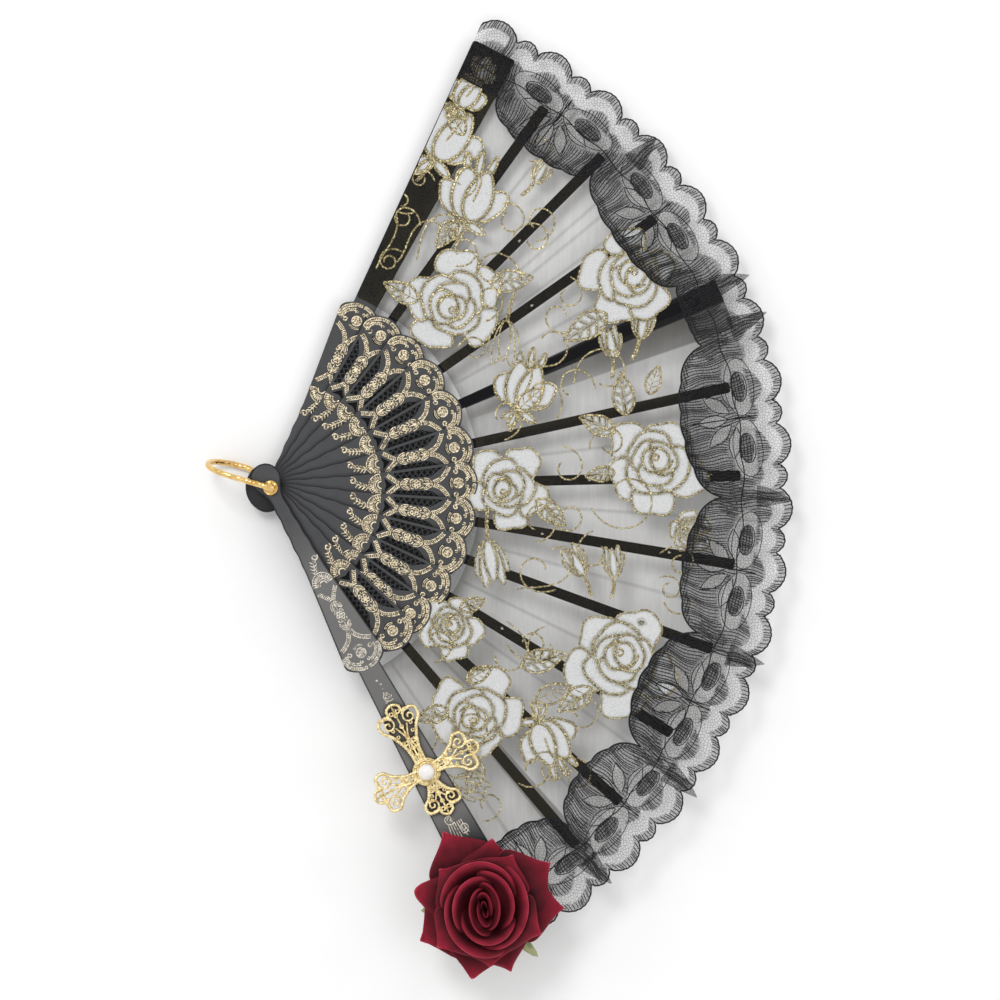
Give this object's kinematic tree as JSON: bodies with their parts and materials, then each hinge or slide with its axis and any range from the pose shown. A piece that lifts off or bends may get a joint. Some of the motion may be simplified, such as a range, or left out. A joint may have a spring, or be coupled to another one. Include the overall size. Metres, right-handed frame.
{
  "type": "hand fan",
  "caption": "Folding hand fan, opened: pierced-look plastic sticks on one pin, sheer flowered leaf with a lace edge, ring loop, gilt cross with a pearl and a red velvet rose.",
  "frame": {"origin": "on the pivot axis, in the plane of the rear guard's back face", "axes": "fan lies open and flat: +Z out of its front face along the pivot pin, +X along the middle of the open fan from pivot to lace, +Y towards the rear guard's side"},
  "size_m": [0.2582, 0.4243, 0.0555],
  "materials": {
    "black_plastic": "satin",
    "gilt_print": "satin",
    "organza": "matte",
    "white_flock": "matte",
    "gold_glitter": "satin",
    "lace": "matte",
    "steel": "satin",
    "gold_metal": "polished",
    "pearl": "gloss",
    "red_velvet": "matte",
    "sepal_green": "matte"
  },
  "bodies": {
    "back_guard": {"back_guard": "black_plastic", "pivot_pin": "steel", "back_washer": "gold_metal", "front_washer": "gold_metal"},
    "stick_01": {"stick_01": "black_plastic", "leaf_gore_01": "organza", "lace_gore_01": "lace"},
    "stick_02": {"stick_02": "black_plastic", "leaf_gore_02": "organza", "lace_gore_02": "lace"},
    "stick_03": {"stick_03": "black_plastic", "leaf_gore_03": "organza", "lace_gore_03": "lace"},
    "stick_04": {"stick_04": "black_plastic", "leaf_gore_04": "organza", "lace_gore_04": "lace"},
    "stick_05": {"stick_05": "black_plastic", "leaf_gore_05": "organza", "lace_gore_05": "lace"},
    "stick_06": {"stick_06": "black_plastic", "leaf_gore_06": "organza", "lace_gore_06": "lace"},
    "stick_07": {"stick_07": "black_plastic", "leaf_gore_07": "organza", "lace_gore_07": "lace"},
    "stick_08": {"stick_08": "black_plastic", "leaf_gore_08": "organza", "lace_gore_08": "lace"},
    "stick_09": {"stick_09": "black_plastic", "leaf_gore_09": "organza", "lace_gore_09": "lace"},
    "stick_10": {"stick_10": "black_plastic", "leaf_gore_10": "organza", "lace_gore_10": "lace"},
    "stick_11": {"stick_11": "black_plastic", "leaf_gore_11": "organza", "lace_gore_11": "lace"},
    "front_guard": {"front_guard": "black_plastic", "leaf_gore_12": "organza", "lace_gore_12": "lace", "cross_frame": "gold_metal", "pearl_cup": "gold_metal", "pearl": "pearl", "rose_calyx": "sepal_green", "rose_sepals": "sepal_green", "rose_outer_petals": "red_velvet", "rose_middle_petals": "red_velvet", "rose_bud": "red_velvet"},
    "ring": {"ring_bow": "gold_metal", "ring_front_collar": "gold_metal", "ring_back_collar": "gold_metal"}
  },
  "joints": [
    {"name": "stick_01_turn", "type": "hinge", "parent": "back_guard", "child": "stick_01", "pos_m": [0, 0, 0], "axis": [0, 0, 1], "range_deg": [0, 8.7], "deforming": ["leaf_gore_01", "lace_gore_01"]},
    {"name": "stick_02_turn", "type": "hinge", "parent": "stick_01", "child": "stick_02", "pos_m": [0, 0, 0], "axis": [0, 0, 1], "range_deg": [0, 9.2], "deforming": ["leaf_gore_02", "lace_gore_02"]},
    {"name": "stick_03_turn", "type": "hinge", "parent": "stick_02", "child": "stick_03", "pos_m": [0, 0, 0], "axis": [0, 0, 1], "range_deg": [0, 10], "deforming": ["leaf_gore_03", "lace_gore_03"]},
    {"name": "stick_04_turn", "type": "hinge", "parent": "stick_03", "child": "stick_04", "pos_m": [0, 0, 0], "axis": [0, 0, 1], "range_deg": [0, 11.2], "deforming": ["leaf_gore_04", "lace_gore_04"]},
    {"name": "stick_05_turn", "type": "hinge", "parent": "stick_04", "child": "stick_05", "pos_m": [0, 0, 0], "axis": [0, 0, 1], "range_deg": [0, 11.5], "deforming": ["leaf_gore_05", "lace_gore_05"]},
    {"name": "stick_06_turn", "type": "hinge", "parent": "stick_05", "child": "stick_06", "pos_m": [0, 0, 0], "axis": [0, 0, 1], "range_deg": [0, 10.9], "deforming": ["leaf_gore_06", "lace_gore_06"]},
    {"name": "stick_07_turn", "type": "hinge", "parent": "stick_06", "child": "stick_07", "pos_m": [0, 0, 0], "axis": [0, 0, 1], "range_deg": [0, 10.9], "deforming": ["leaf_gore_07", "lace_gore_07"]},
    {"name": "stick_08_turn", "type": "hinge", "parent": "stick_07", "child": "stick_08", "pos_m": [0, 0, 0], "axis": [0, 0, 1], "range_deg": [0, 10.7], "deforming": ["leaf_gore_08", "lace_gore_08"]},
    {"name": "stick_09_turn", "type": "hinge", "parent": "stick_08", "child": "stick_09", "pos_m": [0, 0, 0], "axis": [0, 0, 1], "range_deg": [0, 11.4], "deforming": ["leaf_gore_09", "lace_gore_09"]},
    {"name": "stick_10_turn", "type": "hinge", "parent": "stick_09", "child": "stick_10", "pos_m": [0, 0, 0], "axis": [0, 0, 1], "range_deg": [0, 10.5], "deforming": ["leaf_gore_10", "lace_gore_10"]},
    {"name": "stick_11_turn", "type": "hinge", "parent": "stick_10", "child": "stick_11", "pos_m": [0, 0, 0], "axis": [0, 0, 1], "range_deg": [0, 7.5], "deforming": ["leaf_gore_11", "lace_gore_11"]},
    {"name": "front_guard_turn", "type": "hinge", "parent": "stick_11", "child": "front_guard", "pos_m": [0, 0, 0], "axis": [0, 0, 1], "range_deg": [0, 11.7], "deforming": ["leaf_gore_12", "lace_gore_12"]},
    {"name": "ring_swing", "type": "hinge", "parent": "back_guard", "child": "ring", "pos_m": [0, 0, 0], "axis": [0, 0, 1], "range_deg": [-60, 95]}
  ],
  "couplings": [
    {"joint": "stick_02_turn", "follows": "stick_01_turn", "ratio": 1.0575},
    {"joint": "stick_03_turn", "follows": "stick_01_turn", "ratio": 1.1494},
    {"joint": "stick_04_turn", "follows": "stick_01_turn", "ratio": 1.2874},
    {"joint": "stick_05_turn", "follows": "stick_01_turn", "ratio": 1.3218},
    {"joint": "stick_06_turn", "follows": "stick_01_turn", "ratio": 1.2529},
    {"joint": "stick_07_turn", "follows": "stick_01_turn", "ratio": 1.2529},
    {"joint": "stick_08_turn", "follows": "stick_01_turn", "ratio": 1.2299},
    {"joint": "stick_09_turn", "follows": "stick_01_turn", "ratio": 1.3103},
    {"joint": "stick_10_turn", "follows": "stick_01_turn", "ratio": 1.2069},
    {"joint": "stick_11_turn", "follows": "stick_01_turn", "ratio": 0.86207},
    {"joint": "front_guard_turn", "follows": "stick_01_turn", "ratio": 1.3448}
  ]
}
